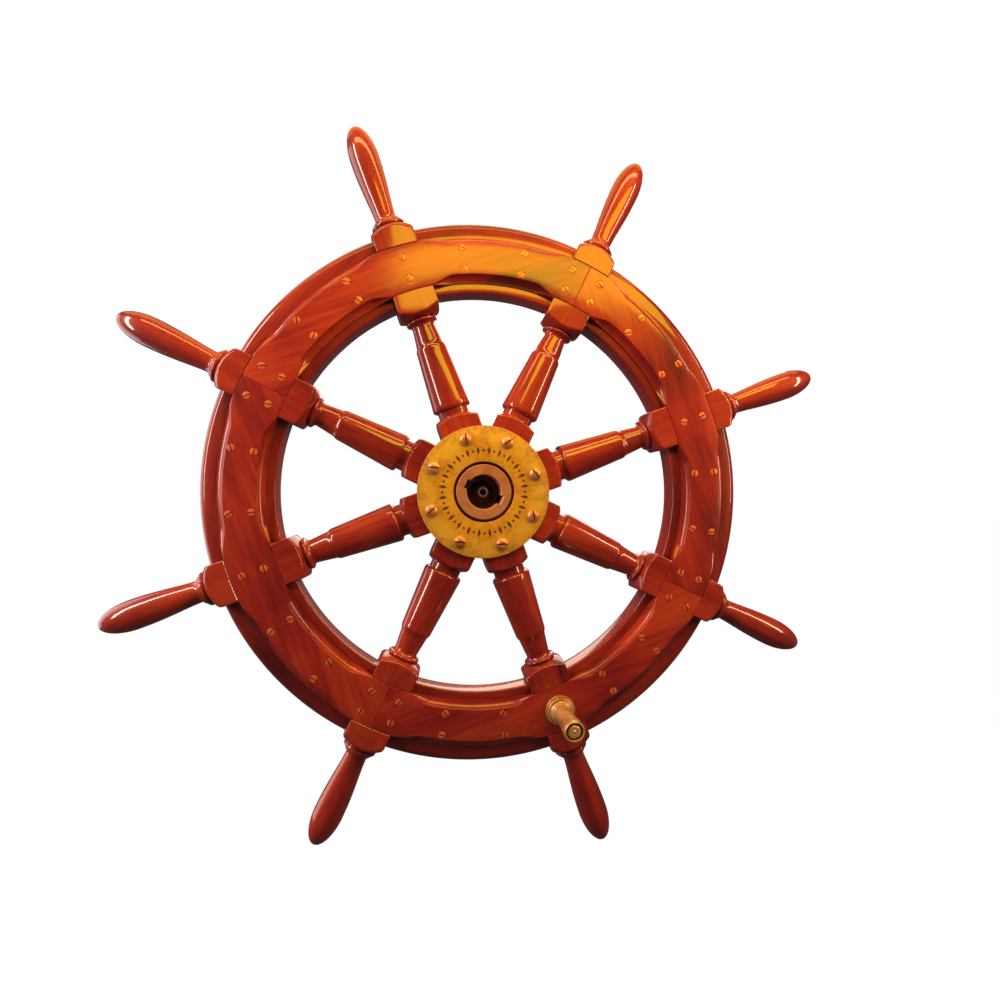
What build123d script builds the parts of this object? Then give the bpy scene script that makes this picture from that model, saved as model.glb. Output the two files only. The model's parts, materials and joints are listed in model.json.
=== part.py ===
from build123d import *
import os
from math import cos, radians, sin, tan

# Ship steering wheel, in millimetres.
#
# Working frame: the wheel lies flat on its back, spin axis on Z, front towards +Z,
# middle of the rim at z = 0, spoke 1 along +X. Every piece is made there, and
# place_in_row() turns it upright: front towards -Y, +Z up, origin on the spin axis
# in the rear face of the mounting flange.

# ---- driving dimensions ----
SPOKES = 8
PITCH = 360 / SPOKES
FIRST_SPOKE_ANGLE = 19.4  # spoke 1 above the horizontal
TIP_R = 500  # handle tips from the spin axis
STOCK = 54  # square stock of the spokes, and thickness of the rim
HALF = STOCK / 2
CORNER = HALF * 2**0.5  # the stock's corner, from its own axis

# rim
FELLOE_IN = 259.5
FELLOE_OUT = 351
FELLOE_HALF = 16
FELLOE_ROUND_IN = 3
FELLOE_ROUND_OUT = 8
FACING_IN = 271
FACING_OUT = 329
FACING_T = HALF - FELLOE_HALF
COVE_R = 9
COVE_SPAN = 11.2  # half of the angle over which a cove runs at full depth
COVE_LEAVE_R = 60  # radius on which a cove leaves the edge
COVE_LEAVE = 38  # degrees turned while leaving

# rim fastenings
SCREW_ROWS = (286.8, 314.2)
SCREW_OFFSETS = (-41.4, -29.2, -14.3, -0.2, 13.9, 28.2, 41.2)
MIDDLE_PAIR = -0.2  # the pair that the turning handle replaces
SCREW_HEAD_R = 5
SCREW_SHANK_R = 2.2
SCREW_HEAD_T = 3.4
SCREW_LAND = 0.4  # straight edge of the head above its cone
SCREW_L = 20
SCREW_POINT_R = 0.6
SCREW_POINT_L = 4
SCREW_SLOT = 1.2
SCREW_SLOT_DEPTH = 1
DOWEL_R = 5
DOWEL_RADIUS = 300.5  # circle on which the dowels lie
DOWEL_IN_SPOKE = 17
DOWEL_IN_FELLOE = 20

# hub
BOSS_R = 35.3
BOSS_BORE_R = 22.05
KEYWAY_W = 12
KEYWAY_DEPTH = 4
PLATE_R = 85
PLATE_T = 6
PLATE_HOLE_R = 38.9
HUB_FACE = HALF + PLATE_T
HUB_BOLT_PCR = 70.6
HUB_BOLT_R = 5
HUB_BOLT_END = 2  # thread showing behind the nut
HUB_HEAD_R = 8.3
HUB_HEAD_H = 5.4
HUB_HEAD_EDGE = 1.4  # straight edge under the head's dome
HUB_SLOT = 2.2
HUB_SLOT_DEPTH = 2.5
HUB_SLOT_ANGLES = (127, 35, 95, -5, 45, -3, 2, 100)
HUB_NUT_ACROSS = 16
HUB_NUT_H = 8
BUSH_BORE_R = 15.05

# spindle
JOURNAL_R = 15
SPINDLE_TIP_R = 6.8
SPINDLE_TIP_Z = 21
SPINDLE_HOLE_R = 4.25
SPINDLE_HOLE_DEPTH = 14
SHOULDER_Z = -3
END_PLAY = 0.3
RETAINING_WASHER_R = 20.5
NUT_ACROSS = 28
NUT_H = 13
NUT_CONE_R = 19  # the cone turned on the nut's front, at its foot
FLANGE_R = 58
FLANGE_T = 12
FLANGE_REAR = -48
FLANGE_BOLT_PCR = 44
FLANGE_HOLE_R = 4.5
SPINDLE_FOOT_R = 20
SPINDLE_FOOT_T = 6
THRUST_WASHER_R = 30

# turning handle
CRANK_SPOKE = 7
CRANK_RADIUS = 301
CRANK_TIP_Z = 106
CRANK_BASE_R = 19.5
CRANK_STEP_R = 17
CRANK_STEP_Z = HALF + 5.5
CRANK_BASE_TOP = HALF + 9
CRANK_SHANK_R = 6
GRIP_BORE_R = 6.05
GRIP_COLLAR_R = 15
GRIP_END_R = 12.7
GRIP_WAIST_R = 10.3
GRIP_RECESS_R = 10.3
GRIP_RECESS_DEPTH = 6.5
CRANK_HEAD_R = 8.2
CRANK_WASHER_R = 12
CRANK_WASHER_T = 2
CRANK_NUT_ACROSS = 19
CRANK_NUT_H = 9
CRANK_BOLT_END = 2  # thread showing behind the nut

CUT = 1  # how far every cutting tool runs past the face it cuts


def around(piece, angle):
    """The piece turned about the wheel's axis."""
    return Rot(0, 0, angle) * piece


def spoke_angle(number):
    return (number - 1) * PITCH


def disc(radius, low, high, x=0.0, y=0.0):
    """A round bar parallel to the wheel's axis, from height low to height high."""
    return Pos(x, y, (low + high) / 2) * Cylinder(radius, high - low)


def ring(inner, outer, low, high):
    return disc(outer, low, high) - disc(inner, low - CUT, high + CUT)


def turned(outline, axis):
    """A closed outline spun into a solid."""
    return revolve(make_face(outline), axis, 360)


def hexagon(across, low, high, x=0.0, y=0.0):
    flat = RegularPolygon(across / 2, 6, major_radius=False)
    return Pos(x, y, low) * extrude(flat, high - low)


# ---- spoke ----


def spoke_outline():
    """Half section of a spoke along +X. Its square zones run outside the stock's corners."""
    root_in = BOSS_R - 8
    axis_in = (root_in, 0)
    full = CORNER + CUT
    handle_max = 456
    handle_r = 19.1
    crown_turn = radians(50)
    crown = (handle_max + (TIP_R - handle_max) * sin(crown_turn), handle_r * cos(crown_turn))
    tip_edge = (TIP_R - 1.2, handle_r * 0.2)
    tip = (TIP_R, 0)
    # root block and neck
    outline = Line(axis_in, (root_in, full))
    outline += Line((root_in, full), (97, full))
    outline += ThreePointArc((97, full), (104, HALF), (107, 20.5))
    outline += Line((107, 20.5), (115, 20.5))
    # tapered body and its step
    outline += ThreePointArc((115, 20.5), (116, 23.8), (119.5, 25.4))
    outline += Line((119.5, 25.4), (196, 20.4))
    outline += ThreePointArc((196, 20.4), (200.4, 19.8), (203.5, 18.1))
    outline += Line((203.5, 18.1), (227, 15.4))
    # collar and rim block
    outline += ThreePointArc((227, 15.4), (231, 15.9), (233.2, 18.4))
    outline += ThreePointArc((233.2, 18.4), (235.8, 20.8), (238.2, 18.4))
    outline += ThreePointArc((238.2, 18.4), (241.9, HALF), (248.5, full))
    outline += Line((248.5, full), (347, full))
    outline += ThreePointArc((347, full), (358, HALF), (362.2, 20.2))
    # two beads and the handle
    outline += ThreePointArc((362.2, 20.2), (365.4, 22), (368.2, 18.6))
    outline += ThreePointArc((368.2, 18.6), (370.8, 17.9), (373.4, 14.6))
    outline += Line((373.4, 14.6), (376, 14))
    outline += Bezier((376, 14), (395, 14.2), (420, handle_r), (handle_max, handle_r))
    outline += ThreePointArc((handle_max, handle_r), crown, tip_edge)
    outline += Line(tip_edge, tip)
    outline += Line(tip, axis_in)
    return outline


def stock_bar():
    """Square bar along +X, its inner end mitred to the wedge that fills one pitch."""
    mitre_x = HALF / tan(radians(PITCH / 2))
    end = TIP_R + CUT
    edge = Polygon((0, 0), (mitre_x, -HALF), (end, -HALF), (end, HALF), (mitre_x, HALF), align=None)
    return extrude(edge, HALF, both=True)


def facing_seats():
    """The two shallow arcs cut out of the spoke blocks for the facings."""
    front = ring(FACING_IN, FACING_OUT, FELLOE_HALF, HALF + CUT)
    rear = ring(FACING_IN, FACING_OUT, -HALF - CUT, -FELLOE_HALF)
    return front, rear


def plain_spoke():
    spoke = turned(spoke_outline(), Axis.X) & stock_bar()
    spoke -= disc(BOSS_R, -HALF - CUT, HALF + CUT)
    spoke -= disc(HUB_BOLT_R, -HALF - CUT, HALF + CUT, HUB_BOLT_PCR)
    for seat in facing_seats():
        spoke -= seat
    for dowel in spoke_dowels():
        spoke -= dowel
    return spoke


# ---- rim fastenings ----


def spoke_dowels():
    """The two dowels of one spoke block, standing out of its sides."""
    length = DOWEL_IN_SPOKE + DOWEL_IN_FELLOE
    middle = HALF + (DOWEL_IN_FELLOE - DOWEL_IN_SPOKE) / 2
    dowel = Rot(90, 0, 0) * Cylinder(DOWEL_R, length)
    return [Pos(DOWEL_RADIUS, side * middle, 0) * dowel for side in (-1, 1)]


def screw_sites():
    """Angle and radius of every facing screw. The turning handle takes the place of one pair."""
    sites = []
    for middle_spoke in range(1, SPOKES, 2):
        for offset in SCREW_OFFSETS:
            if middle_spoke == CRANK_SPOKE and offset == MIDDLE_PAIR:
                continue
            for row in SCREW_ROWS:
                sites.append((spoke_angle(middle_spoke) + offset, row))
    return sites


def screw_blank(side):
    """A countersunk screw with no slot, head flush with the rim's face, on the Z axis."""
    outline = Polyline(
        (0, HALF),
        (SCREW_HEAD_R, HALF),
        (SCREW_HEAD_R, HALF - SCREW_LAND),
        (SCREW_SHANK_R, HALF - SCREW_HEAD_T),
        (SCREW_SHANK_R, HALF - SCREW_L + SCREW_POINT_L),
        (SCREW_POINT_R, HALF - SCREW_L),
        (0, HALF - SCREW_L),
        close=True,
    )
    blank = revolve(Plane.XZ * make_face(outline), Axis.Z, 360)
    if side > 0:
        return blank
    return Rot(180, 0, 0) * blank


def placed_screw(site, side, slotted):
    """The screw of one site on the front (side 1) or rear (side -1), its slot left as it stopped."""
    angle, radius = site
    screw = screw_blank(side)
    if slotted:
        slot = Box(2 * (SCREW_HEAD_R + CUT), SCREW_SLOT, 2 * SCREW_SLOT_DEPTH)
        stopped_at = (angle * 7 + radius) % 180
        screw -= Rot(0, 0, stopped_at) * Pos(0, 0, side * HALF) * slot
    return around(Pos(radius, 0, 0) * screw, angle)


def screws_near(middle, reach):
    """Plain screw bodies of both faces within reach degrees of an angle, to cut their holes."""
    near = []
    for site in screw_sites():
        away = (site[0] - middle + 180) % 360 - 180
        if abs(away) <= reach:
            near += [placed_screw(site, 1, False), placed_screw(site, -1, False)]
    return near


# ---- rim ----


def felloe(number):
    """One arc of the rim, from spoke block to spoke block."""
    middle = spoke_angle(number) + PITCH / 2
    width = FELLOE_OUT - FELLOE_IN
    section = Pos((FELLOE_IN + FELLOE_OUT) / 2, 0) * Rectangle(width, 2 * FELLOE_HALF)
    section = fillet(section.vertices().group_by(Axis.X)[0], FELLOE_ROUND_IN)
    section = fillet(section.vertices().group_by(Axis.X)[-1], FELLOE_ROUND_OUT)
    arc = revolve(Plane.XZ * section, Axis.Z, PITCH)
    arc = around(arc, -PITCH / 2)
    for end in (-1, 1):
        block = Pos(TIP_R / 2, 0, 0) * Box(TIP_R, STOCK, STOCK)
        arc -= around(block, end * PITCH / 2)
        for dowel in spoke_dowels():
            arc -= around(dowel, end * PITCH / 2)
    arc = around(arc, middle)
    for screw in screws_near(middle, PITCH / 2):
        arc -= screw
    return arc


def cove_cutter(radius, outward):
    """Round-nosed cut along one bay's edge, running off the edge at both ends."""
    start = Vector(radius * cos(radians(COVE_SPAN)), -radius * sin(radians(COVE_SPAN)))
    heading = Vector(sin(radians(COVE_SPAN)), cos(radians(COVE_SPAN)))
    middle = JernArc(start, heading, radius, 2 * COVE_SPAN)
    turn = -outward * COVE_LEAVE
    leave = JernArc(middle @ 1, middle % 1, COVE_LEAVE_R, turn)
    enter = JernArc(middle @ 0, -(middle % 0), COVE_LEAVE_R, -turn)
    path = Wire([leave.edge(), middle.edge(), enter.edge()])
    nose = Plane(leave @ 1, z_dir=leave % 1) * Circle(COVE_R)
    return sweep(nose, path)


def facing(middle_spoke, side):
    """One quarter of the facing on one face of the rim, with stopped coves along its bays."""
    section = Pos((FACING_IN + FACING_OUT) / 2, side * (HALF + FELLOE_HALF) / 2)
    section *= Rectangle(FACING_OUT - FACING_IN, FACING_T)
    arc = around(revolve(Plane.XZ * section, Axis.Z, 2 * PITCH), -PITCH)
    for bay in (-PITCH / 2, PITCH / 2):
        for radius, outward in ((FACING_OUT, 1), (FACING_IN, -1)):
            cutter = Pos(0, 0, side * HALF) * cove_cutter(radius, outward)
            arc -= around(cutter, bay)
    arc = around(arc, spoke_angle(middle_spoke))
    if middle_spoke == CRANK_SPOKE:
        arc -= crank_hole()
    for screw in screws_near(spoke_angle(middle_spoke), PITCH):
        arc -= screw
    return arc


# ---- hub ----


def hub_sites():
    return [(spoke_angle(number), number) for number in range(1, SPOKES + 1)]


def hub_plate(side):
    low, high = sorted((side * HALF, side * HUB_FACE))
    plate = ring(PLATE_HOLE_R, PLATE_R, low, high)
    rim_edge = plate.edges().filter_by(GeomType.CIRCLE).sort_by(SortBy.RADIUS)[-2:]
    plate = chamfer(rim_edge.sort_by(Axis.Z)[-1 if side > 0 else 0], 1)
    for angle, _ in hub_sites():
        plate -= around(disc(HUB_BOLT_R, low - CUT, high + CUT, HUB_BOLT_PCR), angle)
    return plate


def hub_boss():
    """Keyed boss: its two keyways lie along spokes 4 and 8."""
    boss = ring(BOSS_BORE_R, BOSS_R, -HUB_FACE, HUB_FACE)
    keyways = Box(2 * (BOSS_BORE_R + KEYWAY_DEPTH), KEYWAY_W, 2 * (HUB_FACE + CUT))
    return boss - around(keyways, spoke_angle(4))


def bearing_bush():
    return ring(BUSH_BORE_R, BOSS_BORE_R, -HUB_FACE, SHOULDER_Z - END_PLAY)


def hub_bolts():
    """Round-head slotted bolts, one through each spoke root."""
    edge = (HUB_HEAD_R, HUB_FACE + HUB_HEAD_EDGE)
    top = (0, HUB_FACE + HUB_HEAD_H)
    outline = Line((0, HUB_FACE), (HUB_HEAD_R, HUB_FACE))
    outline += Line((HUB_HEAD_R, HUB_FACE), edge)
    outline += ThreePointArc(edge, (5.6, HUB_FACE + 4.3), top)
    outline += Line(top, (0, HUB_FACE))
    head = revolve(Plane.XZ * make_face(outline), Axis.Z, 360)
    shank = disc(HUB_BOLT_R, -HUB_FACE - HUB_NUT_H - HUB_BOLT_END, HUB_FACE)
    slot = Box(2 * (HUB_HEAD_R + CUT), HUB_SLOT, 2 * HUB_SLOT_DEPTH)
    slot = Pos(0, 0, HUB_FACE + HUB_HEAD_H) * slot
    bolts = []
    for (angle, _), slot_angle in zip(hub_sites(), HUB_SLOT_ANGLES):
        bolt = (head + shank) - Rot(0, 0, slot_angle - FIRST_SPOKE_ANGLE - angle) * slot
        bolts.append(around(Pos(HUB_BOLT_PCR, 0, 0) * bolt, angle))
    return bolts


def hub_nuts():
    nuts = []
    for angle, number in hub_sites():
        nut = hexagon(HUB_NUT_ACROSS, -HUB_FACE - HUB_NUT_H, -HUB_FACE)
        nut -= disc(HUB_BOLT_R, -HUB_FACE - HUB_NUT_H - CUT, -HUB_FACE + CUT)
        stopped_at = 11 * number
        nuts.append(around(Pos(HUB_BOLT_PCR, 0, 0) * Rot(0, 0, stopped_at) * nut, angle))
    return nuts


# ---- spindle ----


def spindle():
    """Still shaft: foot in the flange, journal in the bush, drilled threaded tip."""
    shaft = disc(SPINDLE_FOOT_R, FLANGE_REAR, FLANGE_REAR + SPINDLE_FOOT_T)
    shaft += disc(JOURNAL_R, FLANGE_REAR, SHOULDER_Z)
    shaft += disc(SPINDLE_TIP_R, SHOULDER_Z - CUT, SPINDLE_TIP_Z)
    return shaft - disc(SPINDLE_HOLE_R, SPINDLE_TIP_Z - SPINDLE_HOLE_DEPTH, SPINDLE_TIP_Z + CUT)


def mounting_flange():
    front = FLANGE_REAR + FLANGE_T
    flange = ring(JOURNAL_R, FLANGE_R, FLANGE_REAR, front)
    flange -= disc(SPINDLE_FOOT_R, FLANGE_REAR - CUT, FLANGE_REAR + SPINDLE_FOOT_T)
    for quarter in range(4):
        hole = disc(FLANGE_HOLE_R, FLANGE_REAR - CUT, front + CUT, FLANGE_BOLT_PCR)
        flange -= around(hole, 90 * quarter + PITCH - FIRST_SPOKE_ANGLE)
    return flange


def thrust_washer():
    return ring(JOURNAL_R, THRUST_WASHER_R, FLANGE_REAR + FLANGE_T, -HUB_FACE - END_PLAY)


def retaining_washer():
    return ring(SPINDLE_TIP_R, RETAINING_WASHER_R, SHOULDER_Z, 0)


def retaining_nut():
    """Hexagon nut with a long cone on its front."""
    cone = Pos(0, 0, NUT_H / 2) * Cone(NUT_CONE_R, SPINDLE_TIP_R + 1.6, NUT_H)
    nut = hexagon(NUT_ACROSS, 0, NUT_H) & cone
    return nut - disc(SPINDLE_TIP_R, -CUT, NUT_H + CUT)


# ---- turning handle ----


def at_crank(piece):
    return around(Pos(CRANK_RADIUS, 0, 0) * piece, spoke_angle(CRANK_SPOKE))


def crank_hole():
    return at_crank(disc(CRANK_SHANK_R, -HALF - CUT, HALF + CUT))


def crank_base():
    """Stepped foot of the turning handle, fixed on the rim's face."""
    foot = (CRANK_BASE_R - 0.8, HALF)
    shoulder = (CRANK_BASE_R - 1, CRANK_STEP_Z)
    step = (CRANK_STEP_R, CRANK_STEP_Z)
    top = (CRANK_STEP_R - 1.4, CRANK_BASE_TOP)
    outline = Line((CRANK_SHANK_R, HALF), foot)
    outline += ThreePointArc(foot, (CRANK_BASE_R, HALF + 2.6), shoulder)
    outline += Line(shoulder, step)
    outline += ThreePointArc(step, (CRANK_STEP_R + 0.2, CRANK_BASE_TOP - 1.2), top)
    outline += Line(top, (CRANK_SHANK_R, CRANK_BASE_TOP))
    outline += Line((CRANK_SHANK_R, CRANK_BASE_TOP), (CRANK_SHANK_R, HALF))
    return at_crank(revolve(Plane.XZ * make_face(outline), Axis.Z, 360))


def crank_grip():
    """Waisted sleeve that turns on the bolt, with a recess for the bolt's head."""
    low = CRANK_BASE_TOP + END_PLAY
    recess_z = CRANK_TIP_Z - GRIP_RECESS_DEPTH
    foot = (GRIP_COLLAR_R - 0.8, low)
    collar_top = (GRIP_COLLAR_R - 1, low + 3.6)
    waist = (GRIP_WAIST_R, low + 20)
    swell = (GRIP_END_R, CRANK_TIP_Z - 4)
    crown = (GRIP_END_R - 0.15, CRANK_TIP_Z - 1.2)
    end = (GRIP_END_R - 0.9, CRANK_TIP_Z)
    outline = Line((GRIP_BORE_R, low), foot)
    outline += ThreePointArc(foot, (GRIP_COLLAR_R, low + 1.8), collar_top)
    outline += Bezier(collar_top, (GRIP_WAIST_R, low + 8), (GRIP_WAIST_R, low + 16), waist)
    outline += Bezier(waist, (GRIP_WAIST_R, low + 34), (GRIP_END_R, low + 40), swell)
    outline += ThreePointArc(swell, crown, end)
    outline += Line(end, (GRIP_RECESS_R, CRANK_TIP_Z))
    outline += Line((GRIP_RECESS_R, CRANK_TIP_Z), (GRIP_RECESS_R, recess_z))
    outline += Line((GRIP_RECESS_R, recess_z), (GRIP_BORE_R, recess_z))
    outline += Line((GRIP_BORE_R, recess_z), (GRIP_BORE_R, low))
    return at_crank(revolve(Plane.XZ * make_face(outline), Axis.Z, 360))


def crank_bolt():
    """Bolt through the rim: domed head sunk in the grip, thread in the rear nut."""
    under_head = CRANK_TIP_Z - GRIP_RECESS_DEPTH + END_PLAY
    rear = -HALF - CRANK_WASHER_T - CRANK_NUT_H - CRANK_BOLT_END
    head_edge = (CRANK_HEAD_R, CRANK_TIP_Z - 2.6)
    head_flat = (2.4, CRANK_TIP_Z - 0.4)
    outline = Line((0, rear), (CRANK_SHANK_R, rear))
    outline += Line((CRANK_SHANK_R, rear), (CRANK_SHANK_R, under_head))
    outline += Line((CRANK_SHANK_R, under_head), (CRANK_HEAD_R, under_head))
    outline += Line((CRANK_HEAD_R, under_head), head_edge)
    outline += ThreePointArc(head_edge, (5.6, CRANK_TIP_Z - 0.8), head_flat)
    outline += Line(head_flat, (0, CRANK_TIP_Z - 0.4))
    outline += Line((0, CRANK_TIP_Z - 0.4), (0, rear))
    return at_crank(revolve(Plane.XZ * make_face(outline), Axis.Z, 360))


def crank_washer():
    washer = ring(CRANK_SHANK_R, CRANK_WASHER_R, -HALF - CRANK_WASHER_T, -HALF)
    return at_crank(washer)


def crank_nut():
    top = -HALF - CRANK_WASHER_T
    nut = hexagon(CRANK_NUT_ACROSS, top - CRANK_NUT_H, top)
    return at_crank(nut - disc(CRANK_SHANK_R, top - CRANK_NUT_H - CUT, top + CUT))


# ---- writing ----


def place_in_row(piece):
    return Pos(0, FLANGE_REAR, 0) * Rot(90, 0, 0) * Rot(0, 0, FIRST_SPOKE_ANGLE) * piece


def write(name, *solids):
    placed = [place_in_row(solid) for solid in solids]
    shape = placed[0] if len(placed) == 1 else Compound(children=placed)
    export_step(shape, f"parts/{name}.step")


def main():
    os.makedirs("parts", exist_ok=True)

    blank = plain_spoke()
    dowels = []
    for number in range(1, SPOKES + 1):
        angle = spoke_angle(number)
        spoke = around(blank, angle)
        for screw in screws_near(angle, PITCH / 4):
            spoke -= screw
        if number == CRANK_SPOKE:
            spoke -= crank_hole()
        write(f"spoke_{number}", spoke)
        write(f"felloe_{number}", felloe(number))
        dowels += [around(dowel, angle) for dowel in spoke_dowels()]
    write("felloe_dowels", *dowels)

    for quarter, middle_spoke in enumerate(range(1, SPOKES, 2), start=1):
        write(f"front_facing_{quarter}", facing(middle_spoke, 1))
        write(f"rear_facing_{quarter}", facing(middle_spoke, -1))
    write("front_facing_screws", *[placed_screw(site, 1, True) for site in screw_sites()])
    write("rear_facing_screws", *[placed_screw(site, -1, True) for site in screw_sites()])

    write("front_hub_plate", hub_plate(1))
    write("rear_hub_plate", hub_plate(-1))
    write("hub_boss", hub_boss())
    write("bearing_bush", bearing_bush())
    write("hub_bolts", *hub_bolts())
    write("hub_nuts", *hub_nuts())

    write("crank_base", crank_base())
    write("crank_bolt", crank_bolt())
    write("crank_washer", crank_washer())
    write("crank_nut", crank_nut())
    write("crank_grip", crank_grip())

    write("spindle", spindle())
    write("mounting_flange", mounting_flange())
    write("thrust_washer", thrust_washer())
    write("retaining_washer", retaining_washer())
    write("retaining_nut", retaining_nut())


main()
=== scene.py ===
import json
import math

import bmesh
import bpy
from mathutils import Matrix, Vector


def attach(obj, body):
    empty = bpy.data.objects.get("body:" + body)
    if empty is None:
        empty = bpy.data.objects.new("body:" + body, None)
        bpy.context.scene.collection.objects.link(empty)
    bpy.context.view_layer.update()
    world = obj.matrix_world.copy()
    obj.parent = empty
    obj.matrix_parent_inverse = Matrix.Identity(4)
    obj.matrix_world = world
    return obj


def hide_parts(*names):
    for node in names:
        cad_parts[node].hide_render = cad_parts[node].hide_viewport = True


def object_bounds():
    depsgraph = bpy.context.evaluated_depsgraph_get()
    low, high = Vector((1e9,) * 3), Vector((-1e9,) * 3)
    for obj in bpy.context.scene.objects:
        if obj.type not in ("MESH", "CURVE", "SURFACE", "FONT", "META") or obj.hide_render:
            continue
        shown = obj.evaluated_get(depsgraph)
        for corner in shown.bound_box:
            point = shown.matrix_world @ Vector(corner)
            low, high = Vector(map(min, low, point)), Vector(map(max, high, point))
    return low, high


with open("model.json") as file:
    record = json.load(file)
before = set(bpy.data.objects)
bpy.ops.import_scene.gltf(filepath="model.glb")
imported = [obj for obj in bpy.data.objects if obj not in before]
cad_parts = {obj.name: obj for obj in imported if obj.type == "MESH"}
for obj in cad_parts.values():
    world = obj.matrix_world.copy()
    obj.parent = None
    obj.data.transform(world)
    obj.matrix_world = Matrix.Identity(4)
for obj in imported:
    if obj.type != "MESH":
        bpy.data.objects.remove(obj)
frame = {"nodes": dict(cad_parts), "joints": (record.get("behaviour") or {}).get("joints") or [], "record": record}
CAD_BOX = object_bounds()

# Ship steering wheel. Sizes are in millimetres on the bench: the wheel on its back, spin
# axis on Z, front up, spoke 1 along +X. BENCH turns that upright into the frame, in metres.

MM = 0.001
SPOKES = 8
PITCH = 360 / SPOKES
FIRST_SPOKE_ANGLE = 19.4
JOINTS = {joint["name"]: joint for joint in frame["joints"]}
WHEEL_CENTRE = Vector(JOINTS["wheel_spin"]["pos_m"])
BENCH = (
    Matrix.Translation(WHEEL_CENTRE)
    @ Matrix.Rotation(math.radians(90), 4, "X")
    @ Matrix.Rotation(math.radians(FIRST_SPOKE_ANGLE), 4, "Z")
)

HALF = 27
CORNER = HALF * math.sqrt(2)
TIP_R = 500
FELLOE_IN, FELLOE_OUT, FELLOE_HALF = 259.5, 351, 16
FACING_IN, FACING_OUT = 271, 329
COVE = 9
JOINT_GAP = 0.3
SCREW_ROWS = (286.8, 314.2)
SCREW_OFFSETS = (-41.4, -29.2, -14.3, -0.2, 13.9, 28.2, 41.2)
SCREW_HEAD_R = 5
CRANK_SPOKE = 7
CRANK_RADIUS = 301
CRANK_TIP_Z = 106
CRANK_BOLT_R = 6
CRANK_STEP_Z = HALF + 5.5
CRANK_BASE_TOP = HALF + 9
GRIP_WAIST_R, GRIP_END_R = 10.3, 12.7
PLATE_R, PLATE_HOLE_R, HUB_FACE = 85, 38.9, 33
BOSS_R, BOSS_BORE_R = 35.3, 22.05
KEYWAY_HALF, KEYWAY_DEPTH, BOSS_CHAMFER = 6, 4, 0.9
HUB_BOLT_PCR, HUB_HEAD_R, HUB_SHANK_R = 70.6, 8.3, 5
HUB_SLOT_ANGLES = (127, 35, 95, -5, 45, -3, 2, 100)
BORDER_R, BORDER_MARKS, MARK_DEPTH = 53.0, 48, 0.9
SPINDLE_R, SPINDLE_END_R, SPINDLE_HEEL_R = 15, 6.8, 20
SPINDLE_HOLE_R, SPINDLE_HOLE_DEPTH = 4.25, 14


def spoke_angle(number):
    return (number - 1) * PITCH


# ---- shader maths ----


class Number:
    """A number socket of a finish. Arithmetic on it adds Math nodes."""

    def __init__(self, finish, socket):
        self.finish = finish
        self.socket = socket

    def _math(self, operation, *values):
        node = self.finish.node("ShaderNodeMath", {"operation": operation}, *values)
        return node[0]

    def __add__(self, other):
        return self._math("ADD", self, other)

    def __radd__(self, other):
        return self._math("ADD", other, self)

    def __sub__(self, other):
        return self._math("SUBTRACT", self, other)

    def __rsub__(self, other):
        return self._math("SUBTRACT", other, self)

    def __mul__(self, other):
        return self._math("MULTIPLY", self, other)

    def __rmul__(self, other):
        return self._math("MULTIPLY", other, self)

    def __truediv__(self, other):
        return self._math("DIVIDE", self, other)

    def clamp(self):
        return self._math("MAXIMUM", self._math("MINIMUM", self, 1.0), 0.0)

    def magnitude(self):
        return self._math("ABSOLUTE", self)

    def between(self, low, high):
        """0 below low, 1 above high, smooth between."""
        settings = {"interpolation_type": "SMOOTHSTEP"}
        return self.finish.node("ShaderNodeMapRange", settings, self, low, high)[0]


class Sockets:
    """The outputs of one node."""

    def __init__(self, finish, node):
        self.finish = finish
        self.node = node

    def __getitem__(self, key):
        return Number(self.finish, self.node.outputs[key])


class Nodes:
    """A node tree under construction."""

    def __init__(self, owner):
        owner.use_nodes = True
        self.tree = owner.node_tree
        self.tree.nodes.clear()

    def link(self, value, socket):
        if isinstance(value, Sockets):
            value = value[0]
        if isinstance(value, Number):
            self.tree.links.new(value.socket, socket)
        elif value is not None:
            socket.default_value = value

    def node(self, kind, settings, *values, **named):
        """One node: its settings first, then the values or links of its sockets."""
        node = self.tree.nodes.new(kind)
        for key, value in settings.items():
            if key == "stops":
                ramp = node.color_ramp.elements
                while len(ramp) < len(value):
                    ramp.new(1.0)
                for element, (position, colour) in zip(ramp, value):
                    element.position = position
                    element.color = (*colour, 1.0)
            else:
                setattr(node, key, value)
        for socket, value in zip(node.inputs, values):
            self.link(value, socket)
        for key, value in named.items():
            self.link(value, node.inputs[key.replace("_", " ")])
        return Sockets(self, node)

    def mix(self, factor, first, second, blend="MIX"):
        """Two colours mixed."""
        node = self.node("ShaderNodeMix", {"data_type": "RGBA", "blend_type": blend})
        colours = [socket for socket in node.node.inputs if socket.type == "RGBA"]
        self.link(factor, node.node.inputs[0])
        for colour, socket in zip((first, second), colours):
            self.link((*colour, 1.0) if isinstance(colour, tuple) else colour, socket)
        result = [socket for socket in node.node.outputs if socket.type == "RGBA"][0]
        return Number(self, result)


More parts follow.
